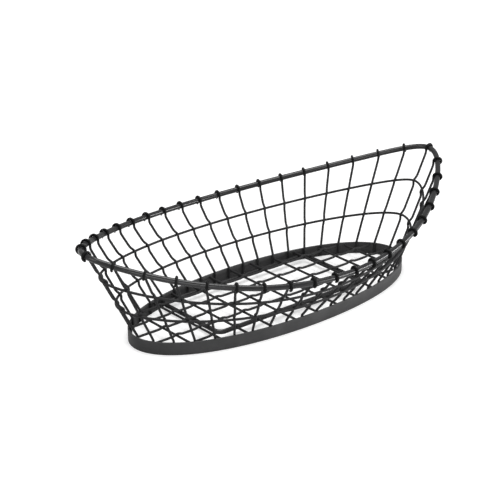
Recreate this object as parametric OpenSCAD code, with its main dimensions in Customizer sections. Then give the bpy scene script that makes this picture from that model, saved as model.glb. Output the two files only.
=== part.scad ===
// Boat-shaped serving basket of welded steel wire.
// Hooked ribs hang from a thick oval rim that rises at both ends.
// They pass two crimped-over ring wires and run down inside an upright foot band.
// Millimetres, +X along the basket, +Z up, the table at Z = 0.

/* [Rim] */
// Length of the rim between the rod's centres at the two raised ends
rim_length = 381; // [350:1:410]
// Width of the rim between the rod's centres at the middle
rim_width = 206.5; // [192:0.5:222]
// Thickness of the rim rod
rim_d = 4.6; // [3.6:0.1:5.2]
// Height of the rod's centre at the middle of each long side
side_height = 62.6; // [56:0.1:72]
// Height of the rod's centre at the raised ends, halfway between left and right
end_height = 95.9; // [86:0.1:106]
// How much higher than that the right end stands, and the left end lower
rim_tilt = 2.4; // [0:0.1:3]
// Share of the rise that comes late, close to the ends
late_rise = 0.19; // [0:0.01:0.4]
// How much the oval is drawn in towards its ends
rim_pinch = 0.22; // [0.1:0.01:0.25]
// How much more it is drawn in right at its ends
rim_point = 0.16; // [0.05:0.01:0.2]
// How much narrower the right half is than the left one
rim_egg = 0.05; // [0:0.01:0.08]

/* [Ribs] */
// Number of ribs round the basket
rib_count = 40; // [32:4:44]
// Thickness of the rib wire
rib_d = 1.9; // [1.5:0.1:2.2]
// How far each hook turns round the rim rod, in degrees
hook_turn = 255; // [225:5:265]
// How loosely each hook goes round the rim rod
hook_play = 0.3; // [0:0.1:0.5]
// Straight drop from the hook to the slanted wall
neck_drop = 3.8; // [2.4:0.1:5]
// How far the ribs crowd away from the ends at the rim, in rib spacings
rim_crowding = 0.28; // [0:0.01:0.4]
// How far the ribs of the far side lead those of the near side at the rim, in rib spacings
rim_lead = 0.06; // [0:0.01:0.1]
// How far all the ribs are moved on round the rim, in rib spacings
rim_turn = 0.05; // [0:0.01:0.1]
// How far the ribs crowd away from the ends at the foot, in rib spacings
foot_crowding = 0.12; // [0:0.01:0.3]
// Height above the table at which the ribs end inside the foot band
rib_end_height = 1.2; // [0.5:0.1:4]
// Length over which a rib bends from the wall into the foot band
foot_bend = 1; // [0.8:0.1:1.5]

/* [Rings] */
// Thickness of the two ring wires
ring_d = 1.9; // [1.5:0.1:2.2]
// Place of the upper ring on the wall, from the foot at 0 to the rim at 1
upper_ring_place = 0.7; // [0.6:0.01:0.75]
// Place of the lower ring on the wall, from the foot at 0 to the rim at 1
lower_ring_place = 0.34; // [0.25:0.01:0.4]
// Length of rib that bends in above each ring
crimp_above = 5; // [4:0.1:6]
// Length of rib that bends back below each ring
crimp_below = 4.2; // [3.6:0.1:6]
// Half length of the flat at the bottom of each crimp
crimp_flat = 0.9; // [0.6:0.1:1.2]

/* [Foot band] */
// Outer length of the foot band
band_length = 295; // [270:1:310]
// Outer width of the foot band
band_width = 121; // [116:1:132]
// Height of the foot band
band_height = 11; // [10.2:0.1:14]
// Thickness of the foot band
band_t = 1.6; // [1.2:0.1:2.2]
// How much fuller than an ellipse the foot oval is towards its ends
band_fullness = 0.07; // [0:0.01:0.15]

/* [Floor] */
// Thickness of the floor wires
floor_d = 1.9; // [1.5:0.1:2.2]
// Height of the centres of the cross wires above the table
floor_height = 8.4; // [8:0.1:9.2]
// Number of wires that run across the floor
cross_count = 11; // [8:1:11]
// Spacing of the cross wires
cross_pitch = 23.7; // [21:0.1:24.4]
// Distance of the middle of the cross wires from the basket's middle
cross_shift = 1.9; // [0:0.1:3]
// Number of wires that run along the floor
long_count = 5; // [3:2:5]
// Spacing of the lengthwise wires
long_pitch = 18.3; // [14:0.1:20]
// Distance of the middle lengthwise wire from the basket's middle line
long_shift = 1.4; // [0:0.1:4]
// How much higher than the cross wires the lengthwise wires run
long_rise = 0.6; // [0:0.1:1]
// Half length of each hump where a lengthwise wire climbs over a cross wire
hump_half = 5; // [4:0.1:6]

/* [Base frame] */
// Length of the rounded frame under the floor, between the rod's centres
frame_length = 164; // [140:1:176]
// Width of the rounded frame between the rod's centres
frame_width = 77; // [66:1:84]
// Thickness of the rod that the frame is bent from
frame_d = 3.8; // [3:0.1:4.6]
// Corner radius of the frame along the rod's centre
frame_corner = 6; // [5:0.5:14]
// Distance of the frame's centre from the basket's, along its length
frame_shift_x = -1.5; // [-8:0.5:8]
// Distance of the frame's centre from the basket's, across it
frame_shift_y = 8; // [0:0.5:9]

/* [Hidden] */
// Gap left for the weld wherever two wires touch
weld_gap = 0.12;
// Sides of a thin wire and of the rim rod
wire_sides = 6;
rim_sides = 8;
// Points round the rim and round each ring wire
loop_steps = 80;
// Share of the loop by which those points crowd towards the pointed ends
tip_share = 0.04;
// Bends in each hook
hook_steps = 7;
// Angle of the hook's start on the inner side of the rod
hook_start = 180;
// Steps of the tables that give the angle for a length of arc
arc_steps = 240;
// Small angle and small share used to find directions
probe = 0.01;
// Points round the foot band
band_steps = 120;
// Shortest piece between the last bend of a lengthwise wire and its end
last_piece = 0.3;
// Steps round each corner of the base frame
corner_steps = 6;
// Smoothness of the round cross wires
round_fn = 48;

hook_r = (rim_d + rib_d) / 2 + weld_gap + hook_play;
crimp_depth = (rib_d + ring_d) / 2 + weld_gap;
leg_inset = band_t + weld_gap + rib_d / 2;
leg_top = band_height + weld_gap + foot_bend;
hump_top = hump_peak(floor_d + weld_gap, hump_half, long_rise);
frame_height = floor_height - (floor_d + frame_d) / 2 - weld_gap;

RIB_NAMES = [for (k = [1 : rib_count]) str("rib_", k)];
LONG_NAMES = [for (m = [1 : long_count]) str("floor_long_wire_", m)];

// Both ovals start at the left end and run by way of the far side.
function rim_at(a) =
    let (u = -cos(a))
    [
        rim_length / 2 * u,
        rim_width / 2 * sin(a) * (1 - rim_pinch * u ^ 2 - rim_point * u ^ 4) * (1 - rim_egg * u),
        side_height + (end_height - side_height) * ((1 - late_rise) * u ^ 2 + late_rise * u ^ 4)
            + rim_tilt * u
    ];

function band_at(a) =
    let (u = -cos(a))
    [band_length / 2 * u, band_width / 2 * sin(a) * (1 + band_fullness * u ^ 2), 0];

function unit(v) = v / norm(v);
function rim_along(a) = unit(rim_at(a + probe) - rim_at(a - probe));
function band_along(a) = unit(band_at(a + probe) - band_at(a - probe));
function outward(along) = unit([-along.y, along.x, 0]);

// Tables of arc length against angle, and the angle for a share of the whole length.
function arc_angle(i) = 360 * i / arc_steps;
function arc_table(points) = [
    for (i = 0, s = 0; i <= arc_steps; s = s + norm(points[min(i + 1, arc_steps)] - points[i]), i = i + 1)
        [s, arc_angle(i)]
];
RIM_ARC = arc_table([for (i = [0 : arc_steps]) rim_at(arc_angle(i))]);
BAND_ARC = arc_table([for (i = [0 : arc_steps]) band_at(arc_angle(i))]);
function angle_for(table, share) = lookup(share * table[arc_steps][0], table);

// Ribs are numbered from the left end, and a place between two ribs is a number between theirs.
function turn_of(k) = 360 * k / rib_count;
function wrapped(share) = share - floor(share);
function rim_share(k) =
    (k + rim_turn + rim_lead * sin(turn_of(k)) + rim_crowding * sin(2 * turn_of(k))) / rib_count;
function rim_angle(k) = angle_for(RIM_ARC, wrapped(rim_share(k)));
function foot_angle(k) = angle_for(BAND_ARC, wrapped((k + foot_crowding * sin(2 * turn_of(k))) / rib_count));

function band_inside(a, inset) = band_at(a) - inset * outward(band_along(a));
function leg_at(k) = band_inside(foot_angle(k), leg_inset);
function neck_at(k) =
    let (a = rim_angle(k))
    rim_at(a) - hook_r * outward(rim_along(a)) - [0, 0, neck_drop];

// The wall between the ribs' necks and the foot, from 0 at the foot to 1 at the neck.
function wall_at(k, place) =
    let (foot = leg_at(k) + [0, 0, leg_top])
    foot + (neck_at(k) - foot) * place;
function wall_up(k) = unit(wall_at(k, 1) - wall_at(k, 0));
function wall_inward(k, place) =
    unit(cross(wall_at(k + probe, place) - wall_at(k - probe, place), wall_up(k)));

// A rib from the tip of its hook, over the rod, down the wall and into the band.
function hook_path(k) =
    let (a = rim_angle(k), out = outward(rim_along(a)), up = cross(rim_along(a), out))
    [
        for (i = [0 : hook_steps])
            let (phi = hook_start - hook_turn * (1 - i / hook_steps))
            rim_at(a) + hook_r * (cos(phi) * out + sin(phi) * up)
    ];
function crimp_path(k, place) =
    let (centre = wall_at(k, place), up = wall_up(k), deep = crimp_depth * wall_inward(k, place))
    [
        centre + crimp_above * up,
        centre + crimp_flat * up + deep,
        centre - crimp_flat * up + deep,
        centre - crimp_below * up
    ];
function foot_path(k) =
    let (corner = wall_at(k, 0))
    [
        corner + foot_bend * wall_up(k),
        corner - [0, 0, foot_bend],
        leg_at(k) + [0, 0, rib_end_height]
    ];
function rib_path(k) = concat(
    hook_path(k),
    [neck_at(k)],
    crimp_path(k, upper_ring_place),
    crimp_path(k, lower_ring_place),
    foot_path(k)
);

function rim_path() = [for (i = [0 : loop_steps - 1]) rim_at(360 * i / loop_steps)];
function ring_path(place) = [
    for (i = [0 : loop_steps - 1])
        wall_at(rib_count * (i / loop_steps - tip_share * sin(720 * i / loop_steps)), place)
];

// Floor wires stop at the band, or short of a rib's leg where one stands in their way.
function clear_of(leg_off, leg_along, reach) =
    abs(leg_off) < reach ? leg_along - sqrt(reach ^ 2 - leg_off ^ 2) : rim_length;
leg_reach = (rib_d + floor_d) / 2 + weld_gap;
LEGS = [for (k = [0 : rib_count - 1]) leg_at(k)];
INSIDE = [for (i = [0 : arc_steps / 4]) band_inside(90 + arc_angle(i), band_t + weld_gap)];
INSIDE_Y = [for (p = INSIDE) [p.x, p.y]];
INSIDE_X = [for (i = [len(INSIDE) - 1 : -1 : 0]) [INSIDE[i].y, INSIDE[i].x]];
function cross_end(x) = min(concat(
    [lookup(abs(x) + floor_d / 2, INSIDE_Y)],
    [for (leg = LEGS) if (leg.y > 0) clear_of(leg.x - x, leg.y, leg_reach)]
));
function long_end(y) = min(concat(
    [lookup(abs(y) + floor_d / 2, INSIDE_X)],
    [for (leg = LEGS) if (leg.x > 0) clear_of(leg.y - y, leg.x, leg_reach)]
));

// Peak of a straight-sided hump that clears a wire of the floor, over that wire's centre.
function hump_peak(clearance, half, low) =
    clearance * (half * sqrt(half ^ 2 + low ^ 2 - clearance ^ 2) - clearance * low)
    / (half ^ 2 - clearance ^ 2);
function cross_x(i) = (i - (cross_count - 1) / 2) * cross_pitch + cross_shift;
function long_y(m) = (m - (long_count + 1) / 2) * long_pitch + long_shift;
function long_path(y) =
    let (end = long_end(y))
    concat(
        [[-end, y, hump_height(-end)]],
        [
            for (i = [0 : cross_count - 1])
                for (step = [-hump_half, 0, hump_half])
                    let (x = cross_x(i) + step)
                    if (abs(x) < end - last_piece)
                        [x, y, hump_height(x)]
        ],
        [[end, y, hump_height(end)]]
    );
function hump_height(x) =
    let (off = min([for (i = [0 : cross_count - 1]) abs(x - cross_x(i))]))
    floor_height + long_rise + (hump_top - long_rise) * max(0, 1 - off / hump_half);

// The base frame's rod, from its far right corner round by way of the far side.
function frame_path() = [
    for (quarter = [0 : 3])
        let (
            sx = quarter == 0 || quarter == 3 ? 1 : -1,
            sy = quarter < 2 ? 1 : -1,
            centre = [sx * (frame_length / 2 - frame_corner), sy * (frame_width / 2 - frame_corner), 0]
        )
        for (i = [0 : corner_steps])
            let (phi = 90 * (quarter + i / corner_steps))
            centre + frame_corner * [cos(phi), sin(phi), 0] + [frame_shift_x, frame_shift_y, frame_height]
];

// A round wire along a path. Its sides keep their place against the given direction.
function span(path, i) = unit(path[(i + 1) % len(path)] - path[i]);
function tangent(path, i, closed) =
    let (n = len(path), last = closed ? n - 1 : n - 2)
    unit(span(path, min(i, last)) + span(path, closed ? (i + n - 1) % n : max(i - 1, 0)));
function wire_ring(centre, along, side, r, sides) =
    let (across = unit(side - (side * along) * along), third = cross(along, across))
    [for (j = [0 : sides - 1]) centre + r * (cos(360 * j / sides) * across + sin(360 * j / sides) * third)];
function quad(a, b, c, d) = [[a, b, c], [a, c, d]];
module wire(path, d, sides, side, closed = false) {
    n = len(path);
    spans = closed ? n : n - 1;
    points = [
        for (i = [0 : n - 1])
            each wire_ring(path[i], tangent(path, i, closed), side, d / 2, sides)
    ];
    walls = [
        for (i = [0 : spans - 1])
            for (j = [0 : sides - 1])
                let (here = i * sides, next = (i + 1) % n * sides, k = (j + 1) % sides)
                each quad(here + j, next + j, next + k, here + k)
    ];
    ends = closed ? [] : [
        [for (j = [0 : sides - 1]) j],
        [for (j = [sides - 1 : -1 : 0]) (n - 1) * sides + j]
    ];
    polyhedron(points = points, faces = concat(walls, ends));
}

module rim_wire() {
    color("#1c1c1e") wire(rim_path(), rim_d, rim_sides, [0, 0, 1], closed = true);
}

module ring_wire(place) {
    color("#242426") wire(ring_path(place), ring_d, wire_sides, [0, 0, 1], closed = true);
}

module rib(k) {
    color("#2a2a2c") wire(rib_path(k), rib_d, wire_sides, rim_along(rim_angle(k)));
}

module oval_plate(inset) {
    polygon([
        for (i = [0 : band_steps - 1])
            let (p = band_inside(360 * (1 - i / band_steps), inset))
            [p.x, p.y]
    ]);
}

module foot_band() {
    color("#303032") linear_extrude(band_height) difference() {
        oval_plate(0);
        oval_plate(band_t);
    }
}

module base_frame() {
    color("#303032") wire(frame_path(), frame_d, rim_sides, [0, 0, 1], closed = true);
}

module floor_cross_wires() {
    color("#242426") for (i = [0 : cross_count - 1])
        translate([cross_x(i), 0, floor_height])
            rotate([90, 0, 0])
                cylinder(d = floor_d, h = 2 * cross_end(cross_x(i)), center = true, $fn = round_fn);
}

module floor_long_wire(m) {
    color("#2a2a2c") wire(long_path(long_y(m)), floor_d, wire_sides, [0, 1, 0]);
}

rim_wire();
ring_wire(upper_ring_place);  // ring_upper
ring_wire(lower_ring_place);  // ring_lower
foot_band();
base_frame();
floor_cross_wires();
for (m = [1 : long_count]) floor_long_wire(m);
for (k = [1 : rib_count]) rib(k);
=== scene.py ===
"""Boat-shaped serving basket of welded black steel wire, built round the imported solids.

Metres, +X along the basket, +Z up, the table at Z = 0.
"""

import math

import bpy
import numpy as np
from bpy.props import FloatProperty, FloatVectorProperty, IntProperty, PointerProperty
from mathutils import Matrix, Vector


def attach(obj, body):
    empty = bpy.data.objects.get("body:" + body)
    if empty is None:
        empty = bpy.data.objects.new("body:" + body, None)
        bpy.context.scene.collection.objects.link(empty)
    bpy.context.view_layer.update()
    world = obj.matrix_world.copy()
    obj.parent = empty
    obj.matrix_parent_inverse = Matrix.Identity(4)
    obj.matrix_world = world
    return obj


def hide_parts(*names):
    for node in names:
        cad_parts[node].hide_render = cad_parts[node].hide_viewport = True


bl_info = {
    "name": "Wire Serving Basket",
    "version": (1, 0, 0),
    "blender": (4, 5, 0),
    "location": "View3D > Sidebar > Basket",
    "description": "Builds an oval serving basket of welded steel wire and its studio stage",
    "category": "Object",
}

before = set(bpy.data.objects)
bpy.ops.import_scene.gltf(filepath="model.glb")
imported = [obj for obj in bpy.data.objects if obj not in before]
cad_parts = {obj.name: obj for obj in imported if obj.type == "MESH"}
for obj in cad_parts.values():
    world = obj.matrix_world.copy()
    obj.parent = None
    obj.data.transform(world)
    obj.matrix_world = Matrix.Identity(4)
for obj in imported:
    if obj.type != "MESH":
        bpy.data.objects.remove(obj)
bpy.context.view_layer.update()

# How finely the wires are drawn
RIM_SIDES = 24
WIRE_SIDES = 14
OVAL_STEPS = 360
HOOK_POINTS = 26
CROSS_WIRE_POINTS = 40
LONG_WIRE_POINTS = 300
CORNER_POINTS = 11
EDGE_POINTS = 5
PROBE = 0.0002
RIB_PROBE = 0.01
BEND_STEPS = 5
LUMP_SIDES = 10
LUMP_ROWS = 6
SHARP_ANGLE = math.radians(50)

# How far above the foot band a rib starts to bend down into it
BEND_ABOVE_BAND = 0.0003

# The longest share of a straight stretch that the bend at one of its ends may take up
BEND_SHARE = 0.48

# Half sizes of the weld lumps. The first is the long one.
HOOK_WELD = (0.0013, 0.0009, 0.0006)
RING_WELD = (0.0011, 0.0011, 0.0006)
FOOT_WELD = (0.0012, 0.0009, 0.0004)
FRAME_WELD = (0.0013, 0.0013, 0.0005)
FLOOR_WELD = (0.0012, 0.0012, 0.0005)
FOOT_WELD_PLACES = (0.3, 0.75)
WELD_UNEVENNESS = 0.12
WELD_RHYTHM = 2.7

# The cut end of a wire: the chamfer's length and the end's radius, as shares of the wire's radius
CHAMFER = 0.18
CUT_END = 0.78

# Shares of the paint's colour in its darker and lighter clouds, and on the hooks, which are darkened as
# painted shade
CLOUD_DARK = 0.86
CLOUD_LIGHT = 1.14
HOOK_PAINTED_SHADE = 0.25

# The clouds in the paint, how much they change its roughness, and the dimples in it
CLOUD_SCALE = 55.0
CLOUD_DETAIL = 3.0
CLOUD_SHADE_RANGE = (0.35, 0.68)
CLOUD_SHEEN_RANGE = (0.3, 0.7)
SMOOTHER = 0.04
ROUGHER = 0.05
DIMPLE_DETAIL = 2.0
DIMPLE_STRENGTH = 0.5

# Name, place, width and height, and power in watts of each soft lamp
LAMPS = (
    ("soft_light_above", (0.15, 0.1, 1.25), (1.0, 0.9), 12.5),
    ("soft_light_right", (1.25, -1.1, 0.2), (1.3, 0.25), 19.0),
    ("soft_light_left", (-1.5, 0.4, 0.8), (0.6, 0.9), 3.5),
    ("soft_light_front", (-0.9, -1.3, 0.5), (1.0, 0.5), 5.5),
)
LAMP_TARGET = (0, 0, 0.04)
SENSOR_WIDTH = 36
SEEN_AS_FAR_AS = 50

# The table's glow for the camera alone: its level near the basket and far off, and those distances
GLOW_NEAR, GLOW_FAR = 0.52, 1.0
GLOW_NEAR_END, GLOW_FAR_START = 0.3, 1.5
TABLE_HALF = 6
TABLE_ROUGHNESS = 0.7
TABLE_SHINE = 0.2


# Settings

def length_of(name, description, default):
    return FloatProperty(
        name=name, description=description, default=default, unit="LENGTH", precision=4
    )


def share_of(name, description, default):
    return FloatProperty(name=name, description=description, default=default, precision=3)


def colour_of(name, description, default):
    return FloatVectorProperty(
        name=name, description=description, default=default, subtype="COLOR", size=3, min=0, max=1
    )


class RimSettings(bpy.types.PropertyGroup):
    """Run and thickness of the rim rod"""
    length: length_of("Length", "Length of the rim between the rod's centres at its two ends", 0.381)
    width: length_of("Width", "Width of the rim between the rod's centres at the middle", 0.2065)
    thickness: length_of("Thickness", "Thickness of the rim rod", 0.0046)
    side_height: length_of("Side Height", "Height of the rod's centre at the middle of a long side", 0.0626)
    end_height: length_of("End Height", "Mean height of the rod's centre at the two raised ends", 0.0959)
    tilt: length_of("Tilt", "How much higher the right end stands, and the left end lower", 0.0024)
    late_rise: share_of("Late Rise", "Share of the rise that comes close to the ends", 0.19)
    pinch: share_of("Pinch", "How much the oval is drawn in towards its ends", 0.22)
    point: share_of("Point", "How much more it is drawn in right at its ends", 0.16)
    egg: share_of("Egg", "How much narrower the right half is than the left one", 0.05)


class RibSettings(bpy.types.PropertyGroup):
    """The hooked ribs of the wall"""
    count: IntProperty(name="Count", description="Number of ribs round the basket", default=40, min=8)
    thickness: length_of("Thickness", "Thickness of the rib wire", 0.0019)
    hook_turn: FloatProperty(
        name="Hook Turn", description="How far each hook turns round the rim rod",
        default=math.radians(255), subtype="ANGLE",
    )
    hook_play: length_of("Hook Play", "How loosely each hook goes round the rim rod", 0.0003)
    neck_drop: length_of("Neck Drop", "Straight drop from the hook to the slanted wall", 0.0038)
    rim_crowding: share_of(
        "Rim Crowding", "Crowding away from the ends at the rim, in rib spacings", 0.28
    )
    rim_lead: share_of("Rim Lead", "Lead of the far side's ribs at the rim, in rib spacings", 0.06)
    rim_turn: share_of("Rim Turn", "How far all ribs are moved on round the rim, in rib spacings", 0.05)
    foot_crowding: share_of(
        "Foot Crowding", "Crowding away from the ends at the foot, in rib spacings", 0.12
    )
    end_height: length_of("End Height", "Height at which the ribs end inside the foot band", 0.0012)
    foot_bend: length_of("Foot Bend", "Length over which a rib bends into the foot band", 0.0012)


class RingSettings(bpy.types.PropertyGroup):
    """The two ring wires and the crimps that hold them"""
    thickness: length_of("Thickness", "Thickness of the two ring wires", 0.0019)
    upper_place: share_of("Upper Place", "Place of the upper ring, from the foot at 0 to the rim at 1", 0.7)
    lower_place: share_of("Lower Place", "Place of the lower ring, from the foot at 0 to the rim at 1", 0.34)
    crimp_above: length_of("Crimp Above", "Length of rib that bends in above each ring", 0.005)
    crimp_below: length_of("Crimp Below", "Length of rib that bends back below each ring", 0.0042)
    crimp_flat: length_of("Crimp Flat", "Half length of the flat at the bottom of each crimp", 0.0009)
    crimp_bend: length_of("Crimp Bend", "Length over which a rib bends at each corner of a crimp", 0.0024)


class BandSettings(bpy.types.PropertyGroup):
    """The upright strip round the foot"""
    length: length_of("Length", "Outer length of the foot band", 0.295)
    width: length_of("Width", "Outer width of the foot band", 0.121)
    height: length_of("Height", "Height of the foot band", 0.011)
    thickness: length_of("Thickness", "Thickness of the foot band", 0.0016)
    edge: length_of("Edge", "Radius of the strip's rolled edges", 0.00025)
    fullness: share_of("Fullness", "How much fuller than an ellipse the foot is towards its ends", 0.07)


class FloorSettings(bpy.types.PropertyGroup):
    """The crossed wires of the floor"""
    thickness: length_of("Thickness", "Thickness of the floor wires", 0.0019)
    height: length_of("Height", "Height of the cross wires' centres", 0.0084)
    cross_count: IntProperty(
        name="Cross Wires", description="Number of wires across the floor", default=11, min=1
    )
    cross_pitch: length_of("Cross Pitch", "Spacing of the cross wires", 0.0237)
    cross_shift: length_of("Cross Shift", "Distance of their middle from the basket's middle", 0.0019)
    long_count: IntProperty(
        name="Long Wires", description="Number of wires along the floor", default=5, min=1
    )
    long_pitch: length_of("Long Pitch", "Spacing of the lengthwise wires", 0.0183)
    long_shift: length_of("Long Shift", "Distance of their middle from the basket's middle", 0.0014)
    long_rise: length_of("Long Rise", "How much higher than the cross wires they run", 0.0006)
    hump_half: length_of("Hump Half", "Half length of the hump over a cross wire", 0.0058)


class BaseFrameSettings(bpy.types.PropertyGroup):
    """The rounded rod frame under the floor"""
    length: length_of("Length", "Length of the frame between the rod's centres", 0.164)
    width: length_of("Width", "Width of the frame between the rod's centres", 0.077)
    thickness: length_of("Thickness", "Thickness of the frame's rod", 0.0038)
    corner: length_of("Corner", "Corner radius along the rod's centre", 0.006)
    shift: FloatVectorProperty(
        name="Shift", description="Distance of the frame's centre from the basket's",
        default=(-0.0015, 0.008), size=2, subtype="TRANSLATION", unit="LENGTH",
    )


class PaintSettings(bpy.types.PropertyGroup):
    """The black paint"""
    rim_colour: colour_of("Rim Colour", "Black paint of the thick rods", (0.024, 0.024, 0.025))
    wire_colour: colour_of("Wire Colour", "Black paint of the thin wires", (0.025, 0.025, 0.026))
    strip_colour: colour_of("Strip Colour", "Black paint of the foot band", (0.05, 0.05, 0.051))
    rod_roughness: share_of("Rod Roughness", "Roughness of the paint on the thick rods", 0.22)
    wire_roughness: share_of(
        "Wire Roughness", "Roughness of the paint on the thin wires and the strip", 0.45
    )
    rod_shine: share_of("Rod Shine", "Strength of the reflections on the thick rods", 0.5)
    wire_shine: share_of("Wire Shine", "Strength of the reflections on the thin wires", 0.15)
    strip_shine: share_of("Strip Shine", "Strength of the reflections on the strip", 0.3)
    coat: length_of("Coat", "Thickness of the baked coat of paint on each wire", 0.00014)
    peel_size: length_of("Peel Size", "Size of the dimples in the baked paint", 0.0009)
    peel_depth: length_of("Peel Depth", "Depth of those dimples", 0.00001)


class StageSettings(bpy.types.PropertyGroup):
    """Camera, table and even light"""
    azimuth: FloatProperty(
        name="Azimuth", description="Camera's turn round the basket, from straight in front to the left",
        default=math.radians(40.259), subtype="ANGLE",
    )
    elevation: FloatProperty(
        name="Elevation", description="Camera's height above the table, as an angle",
        default=math.radians(22.845), subtype="ANGLE",
    )
    distance: length_of("Distance", "Distance of the camera from what it looks at", 1.3272)
    look_at: FloatVectorProperty(
        name="Look At", description="Point in the middle of the picture",
        default=(-0.02425, 0.0004, 0.05405), subtype="XYZ", unit="LENGTH",
    )
    lens: FloatProperty(
        name="Lens", description="Focal length of the camera, in millimetres", default=112.323
    )
    table_colour: colour_of("Table Colour", "Colour of the white table", (0.68, 0.68, 0.68))
    sky: share_of("Sky", "Strength of the even light from all round", 0.32)


class BasketSettings(bpy.types.PropertyGroup):
    """All settings of the basket and its stage"""
    rim: PointerProperty(type=RimSettings)
    ribs: PointerProperty(type=RibSettings)
    rings: PointerProperty(type=RingSettings)
    band: PointerProperty(type=BandSettings)
    floor: PointerProperty(type=FloorSettings)
    base_frame: PointerProperty(type=BaseFrameSettings)
    paint: PointerProperty(type=PaintSettings)
    stage: PointerProperty(type=StageSettings)


# Where the wires run

def unit(v):
    v = np.asarray(v, float)
    return v / np.linalg.norm(v, axis=-1, keepdims=True)


def outward(along):
    """The level direction out of an oval that runs along the given direction."""
    return unit([-along[1], along[0], 0.0])


class Oval:
    """A closed curve from the left end by way of the far side, with its angle for a share of its length."""

    def __init__(self, at):
        self.at = at
        self.angles = np.linspace(0, 2 * math.pi, 2 * OVAL_STEPS + 1)
        points = np.array([at(a) for a in self.angles])
        self.lengths = np.concatenate([[0], np.cumsum(np.linalg.norm(np.diff(points, axis=0), axis=1))])

    def angle_for(self, share):
        return float(np.interp((share % 1.0) * self.lengths[-1], self.lengths, self.angles))

    def along(self, angle):
        return unit(self.at(angle + PROBE) - self.at(angle - PROBE))


class BasketLines:
    """The lines that the wires of the basket follow."""

    def __init__(self, basket):
        self.rim_sizes, self.rib_sizes, self.ring_sizes = basket.rim, basket.ribs, basket.rings
        self.band_sizes, self.floor_sizes = basket.band, basket.floor
        self.rim = Oval(self.rim_at)
        self.band = Oval(self.band_at)
        contact = (self.rim_sizes.thickness + self.rib_sizes.thickness) / 2
        self.hook_radius = contact + self.rib_sizes.hook_play
        self.crimp_depth = (self.rib_sizes.thickness + self.ring_sizes.thickness) / 2
        self.leg_inset = self.band_sizes.thickness + self.rib_sizes.thickness / 2
        self.leg_top = self.band_sizes.height + BEND_ABOVE_BAND

    def rim_at(self, angle):
        s = self.rim_sizes
        u = -math.cos(angle)
        drawn_in = (1 - s.pinch * u ** 2 - s.point * u ** 4) * (1 - s.egg * u)
        rise = (s.end_height - s.side_height) * ((1 - s.late_rise) * u ** 2 + s.late_rise * u ** 4)
        return np.array([
            s.length / 2 * u,
            s.width / 2 * math.sin(angle) * drawn_in,
            s.side_height + rise + s.tilt * u,
        ])

    def band_at(self, angle):
        s = self.band_sizes
        u = -math.cos(angle)
        return np.array([s.length / 2 * u, s.width / 2 * math.sin(angle) * (1 + s.fullness * u ** 2), 0.0])

    def rim_angle(self, k):
        s = self.rib_sizes
        turn = 2 * math.pi * k / s.count
        place = k + s.rim_turn + s.rim_lead * math.sin(turn) + s.rim_crowding * math.sin(2 * turn)
        return self.rim.angle_for(place / s.count)

    def foot_angle(self, k):
        s = self.rib_sizes
        turn = 2 * math.pi * k / s.count
        return self.band.angle_for((k + s.foot_crowding * math.sin(2 * turn)) / s.count)

    def band_inside(self, angle, inset):
        return self.band_at(angle) - inset * outward(self.band.along(angle))

    def leg_at(self, k):
        return self.band_inside(self.foot_angle(k), self.leg_inset)

    def neck_at(self, k):
        angle = self.rim_angle(k)
        out = outward(self.rim.along(angle))
        return self.rim_at(angle) - self.hook_radius * out - np.array([0, 0, self.rib_sizes.neck_drop])

    def wall_at(self, k, place):
        foot = self.leg_at(k) + np.array([0, 0, self.leg_top])
        return foot + (self.neck_at(k) - foot) * place

    def wall_up(self, k):
        return unit(self.wall_at(k, 1) - self.wall_at(k, 0))

    def wall_inward(self, k, place):
        sideways = self.wall_at(k + RIB_PROBE, place) - self.wall_at(k - RIB_PROBE, place)
        return unit(np.cross(sideways, self.wall_up(k)))

    def rib_side(self, k):
        return self.rim.along(self.rim_angle(k))


def hook_line(lines, k):
    """The hook from its cut tip, under and over the rim rod, to the rod's inner side."""
    angle = lines.rim_angle(k)
    along = lines.rim.along(angle)
    out = outward(along)
    up = np.cross(along, out)
    turns = np.linspace(math.pi - lines.rib_sizes.hook_turn, math.pi, HOOK_POINTS)
    return [lines.rim_at(angle) + lines.hook_radius * (math.cos(t) * out + math.sin(t) * up) for t in turns]


def crimp_corners(lines, k, place):
    s = lines.ring_sizes
    centre = lines.wall_at(k, place)
    up = lines.wall_up(k)
    deep = lines.crimp_depth * lines.wall_inward(k, place)
    return [
        centre + s.crimp_above * up,
        centre + s.crimp_flat * up + deep,
        centre - s.crimp_flat * up + deep,
        centre - s.crimp_below * up,
    ]


def rounded(points, reaches):
    """The same line with each corner bent round, from its reach before it to its reach after it."""
    points = [np.asarray(p, float) for p in points]
    line = [points[0]]
    for before, corner, after, reach in zip(points, points[1:], points[2:], reaches):
        to_before, to_after = before - corner, after - corner
        trim = min(reach, BEND_SHARE * np.linalg.norm(to_before), BEND_SHARE * np.linalg.norm(to_after))
        start, end = corner + trim * unit(to_before), corner + trim * unit(to_after)
        for t in np.linspace(0, 1, BEND_STEPS + 1):
            line.append((1 - t) ** 2 * start + 2 * t * (1 - t) * corner + t ** 2 * end)
    line.append(points[-1])
    return line


def rib_line(lines, k):
    corner = lines.wall_at(k, 0)
    hook = hook_line(lines, k)
    wall = [hook[-1], lines.neck_at(k)]
    wall += crimp_corners(lines, k, lines.ring_sizes.upper_place)
    wall += crimp_corners(lines, k, lines.ring_sizes.lower_place)
    wall += [corner, lines.leg_at(k) + np.array([0, 0, lines.rib_sizes.end_height])]
    bends = [lines.ring_sizes.crimp_bend] * (len(wall) - 3) + [lines.rib_sizes.foot_bend]
    return hook[:-1] + rounded(wall, bends)


def ring_line(lines, place):
    count = lines.rib_sizes.count
    return [lines.wall_at(count * i / OVAL_STEPS, place) for i in range(OVAL_STEPS)]


# Meshes

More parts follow.
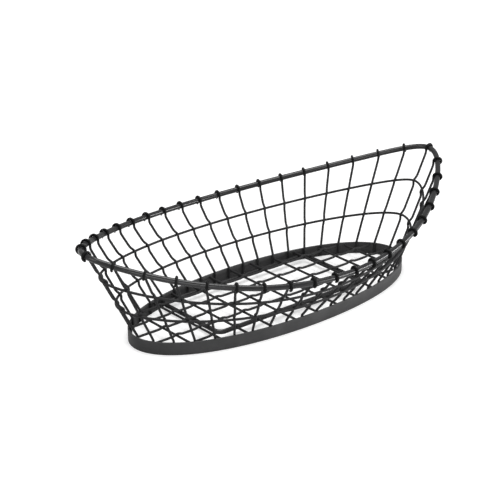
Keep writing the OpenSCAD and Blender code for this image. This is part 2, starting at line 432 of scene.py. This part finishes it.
class PieceMesh:
    """Collects the vertices and faces of one piece."""

    def __init__(self):
        self.vertices = []
        self.faces = []
        self.painted_shade = []

    def add(self, vertices, faces, dark=0.0):
        first = len(self.vertices)
        self.vertices.extend(tuple(v) for v in vertices)
        # dark is the share of painted shade on the added vertices, which darkens the paint there
        self.painted_shade.extend(np.broadcast_to(dark, len(vertices)))
        self.faces.extend(tuple(first + i for i in face) for face in faces)

    def wire(self, line, thickness, side, sides=WIRE_SIDES, closed=False, painted_shade_start=0):
        """A round wire along a line. Its seams keep their place against the side direction.

        The paint is darkened with painted shade on as many of its first points as the last argument says.
        """
        line = np.asarray(line, float)
        if closed:
            tangents = unit(np.roll(line, -1, axis=0) - np.roll(line, 1, axis=0))
        else:
            spans = unit(np.diff(line, axis=0))
            tangents = unit(np.concatenate([spans[:1], spans[:-1] + spans[1:], spans[-1:]]))
        across = unit(side - (tangents @ side)[:, None] * tangents)
        third = np.cross(tangents, across)
        radii = np.full(len(line), thickness / 2)
        if not closed:
            line, tangents, across, third, radii = with_cut_ends(line, tangents, across, third, radii)
        turns = np.linspace(0, 2 * math.pi, sides, endpoint=False)
        cosines, sines = np.cos(turns)[None, :, None], np.sin(turns)[None, :, None]
        ring = cosines * across[:, None, :] + sines * third[:, None, :]
        vertices = (line[:, None, :] + radii[:, None, None] * ring).reshape(-1, 3)
        count = len(line)
        faces = []
        for i in range(count if closed else count - 1):
            here, there = i * sides, (i + 1) % count * sides
            for j in range(sides):
                k = (j + 1) % sides
                faces.append((here + j, here + k, there + k, there + j))
        if not closed:
            faces.append(tuple(range(sides))[::-1])
            faces.append(tuple((count - 1) * sides + j for j in range(sides)))
        painted_shade = (np.arange(count) < painted_shade_start).astype(float)
        self.add(vertices, faces, np.repeat(painted_shade, sides))

    def bead(self, centre, axes, sizes):
        """A lump of weld, longest along the first axis."""
        sides, rows = LUMP_SIDES, LUMP_ROWS
        vertices = [centre + axes[2] * sizes[2]]
        for row in range(1, rows):
            lift = math.pi * row / rows
            for j in range(sides):
                turn = 2 * math.pi * j / sides
                vertices.append(
                    centre
                    + axes[0] * sizes[0] * math.sin(lift) * math.cos(turn)
                    + axes[1] * sizes[1] * math.sin(lift) * math.sin(turn)
                    + axes[2] * sizes[2] * math.cos(lift)
                )
        vertices.append(centre - axes[2] * sizes[2])
        last = len(vertices) - 1
        faces = [(0, 1 + j, 1 + (j + 1) % sides) for j in range(sides)]
        for row in range(rows - 2):
            here, there = 1 + row * sides, 1 + (row + 1) * sides
            faces += [
                (here + j, there + j, there + (j + 1) % sides, here + (j + 1) % sides) for j in range(sides)
            ]
        edge = 1 + (rows - 2) * sides
        faces += [(edge + j, last, edge + (j + 1) % sides) for j in range(sides)]
        self.add(vertices, faces)

    def piece(self, name, node, material):
        """The finished piece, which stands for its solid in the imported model."""
        mesh = bpy.data.meshes.new(name)
        mesh.from_pydata(self.vertices, [], self.faces)
        # This attribute carries the painted shade that darkens the paint on the hooks
        mesh.attributes.new("painted_shade", "FLOAT", "POINT").data.foreach_set("value", self.painted_shade)
        mesh.shade_smooth()
        mesh.set_sharp_from_angle(angle=SHARP_ANGLE)
        mesh.materials.append(material)
        made = bpy.data.objects.new(name, mesh)
        bpy.context.scene.collection.objects.link(made)
        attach(made, "root")
        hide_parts(node)
        return made


def with_cut_ends(line, tangents, across, third, radii):
    """Adds the small chamfer that a cropping tool leaves at both ends of a wire."""
    chamfer = CHAMFER * radii[0]
    line = np.concatenate([
        line[:1], line[:1] + chamfer * tangents[:1],
        line[1:-1],
        line[-1:] - chamfer * tangents[-1:], line[-1:],
    ])

    def doubled(rows):
        return np.concatenate([rows[:1], rows, rows[-1:]])

    radii = doubled(radii)
    radii[[0, -1]] *= CUT_END
    return line, doubled(tangents), doubled(across), doubled(third), radii


# Paint

def black_paint(name, colour, roughness, shine, paint):
    """Satin black paint with baked-on dimples and a slightly uneven sheen, and painted shade that darkens
    the hooks.
    """
    made = bpy.data.materials.get(name)
    if made:
        return made
    made = bpy.data.materials.new(name)
    made.use_nodes = True
    nodes, links = made.node_tree.nodes, made.node_tree.links
    shader = nodes["Principled BSDF"]
    shader.inputs["Specular IOR Level"].default_value = shine
    place = nodes.new("ShaderNodeTexCoord")

    cloud = nodes.new("ShaderNodeTexNoise")
    cloud.inputs["Scale"].default_value = CLOUD_SCALE
    cloud.inputs["Detail"].default_value = CLOUD_DETAIL
    links.new(place.outputs["Object"], cloud.inputs["Vector"])

    shades = nodes.new("ShaderNodeValToRGB")
    dark, light = shades.color_ramp.elements
    dark.position, light.position = CLOUD_SHADE_RANGE
    dark.color = (*[CLOUD_DARK * c for c in colour], 1)
    light.color = (*[CLOUD_LIGHT * c for c in colour], 1)
    links.new(cloud.outputs["Fac"], shades.inputs["Fac"])
    # Painted shade: the paint is darkened where the mesh's attribute says so, which is on the hooks
    painted_shade = nodes.new("ShaderNodeAttribute")
    painted_shade.attribute_name = "painted_shade"
    painted_shade_mix = nodes.new("ShaderNodeMix")
    painted_shade_mix.data_type = "RGBA"
    painted_shade_mix.inputs["B"].default_value = (*[HOOK_PAINTED_SHADE * c for c in colour], 1)
    links.new(painted_shade.outputs["Fac"], painted_shade_mix.inputs["Factor"])
    links.new(shades.outputs["Color"], painted_shade_mix.inputs["A"])
    links.new(painted_shade_mix.outputs["Result"], shader.inputs["Base Color"])

    sheen = nodes.new("ShaderNodeMapRange")
    sheen.inputs["From Min"].default_value = CLOUD_SHEEN_RANGE[0]
    sheen.inputs["From Max"].default_value = CLOUD_SHEEN_RANGE[1]
    sheen.inputs["To Min"].default_value = roughness - SMOOTHER
    sheen.inputs["To Max"].default_value = roughness + ROUGHER
    links.new(cloud.outputs["Fac"], sheen.inputs["Value"])
    links.new(sheen.outputs["Result"], shader.inputs["Roughness"])

    dimples = nodes.new("ShaderNodeTexNoise")
    dimples.inputs["Scale"].default_value = 1 / paint.peel_size
    dimples.inputs["Detail"].default_value = DIMPLE_DETAIL
    links.new(place.outputs["Object"], dimples.inputs["Vector"])
    bump = nodes.new("ShaderNodeBump")
    bump.inputs["Strength"].default_value = DIMPLE_STRENGTH
    bump.inputs["Distance"].default_value = paint.peel_depth
    links.new(dimples.outputs["Fac"], bump.inputs["Height"])
    links.new(bump.outputs["Normal"], shader.inputs["Normal"])
    return made


def coated(basket, thickness):
    """The thickness of a wire with its coat of paint."""
    return thickness + 2 * basket.paint.coat


def rim_paint(basket):
    p = basket.paint
    return black_paint("black_rod_paint", p.rim_colour, p.rod_roughness, p.rod_shine, p)


def wire_paint(basket):
    p = basket.paint
    return black_paint("black_wire_paint", p.wire_colour, p.wire_roughness, p.wire_shine, p)


def strip_paint(basket):
    p = basket.paint
    return black_paint("black_strip_paint", p.strip_colour, p.wire_roughness, p.strip_shine, p)


# Pieces

UP = np.array([0.0, 0.0, 1.0])
ACROSS = np.array([0.0, 1.0, 0.0])
ALONG = np.array([1.0, 0.0, 0.0])


class MakeRim(bpy.types.Operator):
    """Bends the thick rim rod round the top of the basket"""
    bl_idname = "basket.make_rim"
    bl_label = "Make Rim"

    def execute(self, context):
        basket = context.scene.wire_basket
        lines = BasketLines(basket)
        rim = PieceMesh()
        angles = np.linspace(0, 2 * math.pi, OVAL_STEPS, endpoint=False)
        line = [lines.rim_at(a) for a in angles]
        rim.wire(line, coated(basket, basket.rim.thickness), UP, RIM_SIDES, closed=True)
        rim.piece("rim_rod", "rim_wire", rim_paint(basket))
        return {"FINISHED"}


class MakeRibs(bpy.types.Operator):
    """Hooks the ribs over the rim rod and runs them down into the foot band"""
    bl_idname = "basket.make_ribs"
    bl_label = "Make Ribs"

    def execute(self, context):
        basket = context.scene.wire_basket
        lines = BasketLines(basket)
        thickness = coated(basket, basket.ribs.thickness)
        for k in range(1, basket.ribs.count + 1):
            rib = PieceMesh()
            # The hook's points carry painted shade in the paint
            rib.wire(rib_line(lines, k), thickness, lines.rib_side(k), painted_shade_start=HOOK_POINTS + 1)
            self.add_welds(rib, lines, k)
            rib.piece(f"hooked_rib_{k}", f"rib_{k}", wire_paint(basket))
        return {"FINISHED"}

    def add_welds(self, rib, lines, k):
        """Small fused lumps where the rib meets the rim rod, the two rings and the foot band."""
        up = lines.wall_up(k)
        swell = 1 + WELD_UNEVENNESS * math.sin(WELD_RHYTHM * k)
        angle = lines.rim_angle(k)
        out = outward(lines.rim.along(angle))
        gap_middle = lines.hook_radius - (lines.rib_sizes.thickness + lines.rib_sizes.hook_play) / 2
        rib.bead(
            lines.rim_at(angle) - gap_middle * out,
            (UP, np.cross(UP, out), out), swollen(HOOK_WELD, swell),
        )
        for place in (lines.ring_sizes.upper_place, lines.ring_sizes.lower_place):
            inward = lines.wall_inward(k, place)
            centre = lines.wall_at(k, place) + 0.5 * lines.crimp_depth * inward
            rib.bead(centre, (np.cross(up, inward), up, inward), swollen(RING_WELD, swell))
        out = outward(lines.band.along(lines.foot_angle(k)))
        foot = lines.leg_at(k) + 0.5 * lines.rib_sizes.thickness * out
        for height in FOOT_WELD_PLACES:
            centre = foot + np.array([0, 0, height * lines.band_sizes.height])
            rib.bead(centre, (UP, np.cross(UP, out), out), swollen(FOOT_WELD, swell))


def swollen(sizes, swell):
    return (sizes[0] * swell, *sizes[1:])


class MakeRings(bpy.types.Operator):
    """Lays the two ring wires into the crimps of the ribs"""
    bl_idname = "basket.make_rings"
    bl_label = "Make Rings"

    def execute(self, context):
        basket = context.scene.wire_basket
        lines = BasketLines(basket)
        for name, place in (("upper", basket.rings.upper_place), ("lower", basket.rings.lower_place)):
            ring = PieceMesh()
            ring.wire(ring_line(lines, place), coated(basket, basket.rings.thickness), UP, closed=True)
            ring.piece(f"{name}_ring_wire", f"ring_{name}", wire_paint(basket))
        return {"FINISHED"}


class MakeFootBand(bpy.types.Operator):
    """Closes the upright strip round the foot"""
    bl_idname = "basket.make_foot_band"
    bl_label = "Make Foot Band"

    def execute(self, context):
        basket = context.scene.wire_basket
        lines = BasketLines(basket)
        section = strip_section(basket.band)
        band = PieceMesh()
        vertices, faces = [], []
        count = len(section)
        for i in range(OVAL_STEPS):
            angle = 2 * math.pi * i / OVAL_STEPS
            out = outward(lines.band.along(angle))
            edge = lines.band_at(angle)
            vertices += [edge - inset * out + np.array([0, 0, height]) for inset, height in section]
            here, there = i * count, (i + 1) % OVAL_STEPS * count
            faces += [
                (here + j, there + j, there + (j + 1) % count, here + (j + 1) % count) for j in range(count)
            ]
        band.add(vertices, faces)
        band.piece("foot_strip", "foot_band", strip_paint(basket))
        return {"FINISHED"}


def strip_section(band):
    """The strip's section with rolled edges, as pairs of inset from the outer face and height."""
    r = band.edge
    section = []
    for inset, height, start in (
        (r, r, 180), (band.thickness - r, r, 270),
        (band.thickness - r, band.height - r, 0), (r, band.height - r, 90),
    ):
        for turn in np.radians(np.linspace(start, start + 90, EDGE_POINTS)):
            section.append((inset + r * math.cos(turn), height + r * math.sin(turn)))
    return section


class MakeBaseFrame(bpy.types.Operator):
    """Bends the rounded rod frame that carries the floor"""
    bl_idname = "basket.make_base_frame"
    bl_label = "Make Base Frame"

    def execute(self, context):
        basket = context.scene.wire_basket
        sizes, floor = basket.base_frame, basket.floor
        height = floor.height - (floor.thickness + sizes.thickness) / 2
        line = []
        for quarter in range(4):
            sx = 1 if quarter in (0, 3) else -1
            sy = 1 if quarter < 2 else -1
            centre = np.array([
                sx * (sizes.length / 2 - sizes.corner) + sizes.shift[0],
                sy * (sizes.width / 2 - sizes.corner) + sizes.shift[1],
                height,
            ])
            for turn in np.radians(90 * quarter + np.linspace(0, 90, CORNER_POINTS)):
                line.append(centre + sizes.corner * np.array([math.cos(turn), math.sin(turn), 0]))
        rod = PieceMesh()
        rod.wire(line, coated(basket, sizes.thickness), UP, RIM_SIDES, closed=True)
        rod.piece("base_frame_rod", "base_frame", rim_paint(basket))
        return {"FINISHED"}


def floor_end(lines, off, axis):
    """Distance from the middle at which a floor wire meets the foot band, or stops short of a rib."""
    reach = (lines.rib_sizes.thickness + lines.floor_sizes.thickness) / 2
    inner = np.array([
        lines.band_inside(a, lines.band_sizes.thickness) for a in np.linspace(0, math.pi, OVAL_STEPS)
    ])
    side = abs(off) + lines.floor_sizes.thickness / 2
    if axis == 0:
        order = np.argsort(inner[:, 0])
        end = float(np.interp(side, inner[order, 0], inner[order, 1]))
    else:
        right = inner[inner[:, 0] > 0]
        order = np.argsort(right[:, 1])
        end = float(np.interp(side, right[order, 1], right[order, 0]))
    for k in range(lines.rib_sizes.count):
        leg = lines.leg_at(k)
        apart, far = leg[axis] - off, leg[1 - axis]
        if far > 0 and abs(apart) < reach:
            end = min(end, far - math.sqrt(reach ** 2 - apart ** 2))
    return end


def evenly_placed(count, pitch, shift):
    return [(i - (count - 1) / 2) * pitch + shift for i in range(count)]


def cross_places(floor):
    return evenly_placed(floor.cross_count, floor.cross_pitch, floor.cross_shift)


def long_places(floor):
    return evenly_placed(floor.long_count, floor.long_pitch, floor.long_shift)


class MakeCrossWires(bpy.types.Operator):
    """Lays the straight wires across the floor"""
    bl_idname = "basket.make_cross_wires"
    bl_label = "Make Cross Wires"

    def execute(self, context):
        basket = context.scene.wire_basket
        lines = BasketLines(basket)
        floor, base = basket.floor, basket.base_frame
        wires = PieceMesh()
        for x in cross_places(floor):
            end = floor_end(lines, x, 0)
            line = [np.array([x, y, floor.height]) for y in np.linspace(-end, end, CROSS_WIRE_POINTS)]
            wires.wire(line, coated(basket, floor.thickness), UP)
            if abs(x - base.shift[0]) < base.length / 2:
                for side in (-1, 1):
                    y = base.shift[1] + side * base.width / 2
                    centre = np.array([x, y, floor.height - floor.thickness / 2])
                    wires.bead(centre, (ALONG, ACROSS, UP), FRAME_WELD)
        wires.piece("cross_wires", "floor_cross_wires", wire_paint(basket))
        return {"FINISHED"}


class MakeLongWires(bpy.types.Operator):
    """Lays the crimped wires along the floor, humped over each cross wire"""
    bl_idname = "basket.make_long_wires"
    bl_label = "Make Long Wires"

    def execute(self, context):
        basket = context.scene.wire_basket
        lines = BasketLines(basket)
        floor = basket.floor
        for number, y in enumerate(long_places(floor), start=1):
            end = floor_end(lines, y, 1)
            wire = PieceMesh()
            xs = np.linspace(-end, end, LONG_WIRE_POINTS)
            line = [np.array([x, y, hump_height(floor, x)]) for x in xs]
            wire.wire(line, coated(basket, floor.thickness), ACROSS)
            for x in cross_places(floor):
                if abs(x) < end - floor.thickness:
                    centre = np.array([x, y, floor.height + floor.thickness / 2])
                    wire.bead(centre, (ALONG, ACROSS, UP), FLOOR_WELD)
            name, node = f"crimped_floor_wire_{number}", f"floor_long_wire_{number}"
            wire.piece(name, node, wire_paint(basket))
        return {"FINISHED"}


def hump_height(floor, x):
    off = min(abs(x - place) for place in cross_places(floor))
    low = floor.height + floor.long_rise
    top = floor.height + floor.thickness
    if off >= floor.hump_half:
        return low
    return low + (top - low) * (0.5 + 0.5 * math.cos(math.pi * off / floor.hump_half))


# Stage

class SetStage(bpy.types.Operator):
    """Sets the white table, the soft lights and the camera"""
    bl_idname = "basket.set_stage"
    bl_label = "Set Stage"

    def execute(self, context):
        stage = context.scene.wire_basket.stage
        self.lay_table(context, stage)
        self.light_room(context, stage)
        self.place_camera(context, stage)
        context.scene.view_settings.view_transform = "Standard"
        return {"FINISHED"}

    def lay_table(self, context, stage):
        h = TABLE_HALF
        mesh = bpy.data.meshes.new("white_table")
        mesh.from_pydata([(-h, -h, 0), (h, -h, 0), (h, h, 0), (-h, h, 0)], [], [(0, 1, 2, 3)])
        mesh.materials.append(white_table_finish(stage.table_colour))
        table = bpy.data.objects.new("white_table", mesh)
        context.scene.collection.objects.link(table)

    def light_room(self, context, stage):
        world = bpy.data.worlds.new("even_light")
        world.use_nodes = True
        nodes, links = world.node_tree.nodes, world.node_tree.links
        nodes["Background"].inputs["Color"].default_value = (1, 1, 1, 1)
        seen = nodes.new("ShaderNodeLightPath")
        level = nodes.new("ShaderNodeMapRange")
        level.inputs["To Min"].default_value = stage.sky
        level.inputs["To Max"].default_value = 1.0
        links.new(seen.outputs["Is Camera Ray"], level.inputs["Value"])
        links.new(level.outputs["Result"], nodes["Background"].inputs["Strength"])
        context.scene.world = world
        for name, place, size, power in LAMPS:
            data = bpy.data.lights.new(name, "AREA")
            data.shape = "RECTANGLE"
            data.size, data.size_y = size
            data.energy = power
            lamp = bpy.data.objects.new(name, data)
            lamp.location = place
            towards = Vector(LAMP_TARGET) - lamp.location
            lamp.rotation_euler = towards.to_track_quat("-Z", "Y").to_euler()
            context.scene.collection.objects.link(lamp)

    def place_camera(self, context, stage):
        data = bpy.data.cameras.new("camera")
        data.lens = stage.lens
        data.sensor_width = SENSOR_WIDTH
        data.clip_end = SEEN_AS_FAR_AS
        camera = bpy.data.objects.new("camera", data)
        away = Vector((
            -math.sin(stage.azimuth) * math.cos(stage.elevation),
            -math.cos(stage.azimuth) * math.cos(stage.elevation),
            math.sin(stage.elevation),
        ))
        camera.location = Vector(stage.look_at) + stage.distance * away
        camera.rotation_euler = (-away).to_track_quat("-Z", "Y").to_euler()
        context.scene.collection.objects.link(camera)
        context.scene.camera = camera


def white_table_finish(colour):
    """A white table that keeps the basket's shadow and looks pure white to the camera further away."""
    made = bpy.data.materials.new("white_table")
    made.use_nodes = True
    nodes, links = made.node_tree.nodes, made.node_tree.links
    shader = nodes["Principled BSDF"]
    shader.inputs["Base Color"].default_value = (*colour, 1)
    shader.inputs["Roughness"].default_value = TABLE_ROUGHNESS
    shader.inputs["Specular IOR Level"].default_value = TABLE_SHINE
    place = nodes.new("ShaderNodeTexCoord")
    away = nodes.new("ShaderNodeVectorMath")
    away.operation = "LENGTH"
    links.new(place.outputs["Object"], away.inputs[0])
    level = nodes.new("ShaderNodeMapRange")
    level.inputs["From Min"].default_value = GLOW_NEAR_END
    level.inputs["From Max"].default_value = GLOW_FAR_START
    level.inputs["To Min"].default_value = GLOW_NEAR
    level.inputs["To Max"].default_value = GLOW_FAR
    links.new(away.outputs["Value"], level.inputs["Value"])

    glow = nodes.new("ShaderNodeEmission")
    seen = nodes.new("ShaderNodeLightPath")
    strength = nodes.new("ShaderNodeMath")
    strength.operation = "MULTIPLY"
    links.new(seen.outputs["Is Camera Ray"], strength.inputs[0])
    links.new(level.outputs["Result"], strength.inputs[1])
    links.new(strength.outputs[0], glow.inputs["Strength"])
    both = nodes.new("ShaderNodeAddShader")
    links.new(shader.outputs[0], both.inputs[0])
    links.new(glow.outputs[0], both.inputs[1])
    links.new(both.outputs[0], nodes["Material Output"].inputs["Surface"])
    return made


# Panel and registration

OPERATORS = (
    MakeRim, MakeRibs, MakeRings, MakeFootBand, MakeBaseFrame, MakeCrossWires, MakeLongWires, SetStage,
)
SETTINGS = (
    RimSettings, RibSettings, RingSettings, BandSettings, FloorSettings, BaseFrameSettings,
    PaintSettings, StageSettings, BasketSettings,
)


class BasketPanel(bpy.types.Panel):
    """Sizes, colours and steps of the wire basket"""
    bl_idname = "VIEW3D_PT_wire_basket"
    bl_label = "Wire Basket"
    bl_space_type = "VIEW_3D"
    bl_region_type = "UI"
    bl_category = "Basket"

    def draw(self, context):
        basket = context.scene.wire_basket
        for group in ("rim", "ribs", "rings", "band", "floor", "base_frame", "paint", "stage"):
            box = self.layout.box()
            box.label(text=group.replace("_", " ").title())
            settings = getattr(basket, group)
            for key in settings.__annotations__:
                box.prop(settings, key)
        for operator in OPERATORS:
            self.layout.operator(operator.bl_idname)


def register():
    for cls in (*SETTINGS, *OPERATORS, BasketPanel):
        bpy.utils.register_class(cls)
    bpy.types.Scene.wire_basket = PointerProperty(type=BasketSettings)


def unregister():
    del bpy.types.Scene.wire_basket
    for cls in reversed((*SETTINGS, *OPERATORS, BasketPanel)):
        bpy.utils.unregister_class(cls)


def main():
    register()
    bpy.ops.basket.set_stage()
    bpy.ops.basket.make_rim()
    bpy.ops.basket.make_ribs()
    bpy.ops.basket.make_rings()
    bpy.ops.basket.make_foot_band()
    bpy.ops.basket.make_base_frame()
    bpy.ops.basket.make_cross_wires()
    bpy.ops.basket.make_long_wires()


if __name__ == "__main__":
    main()
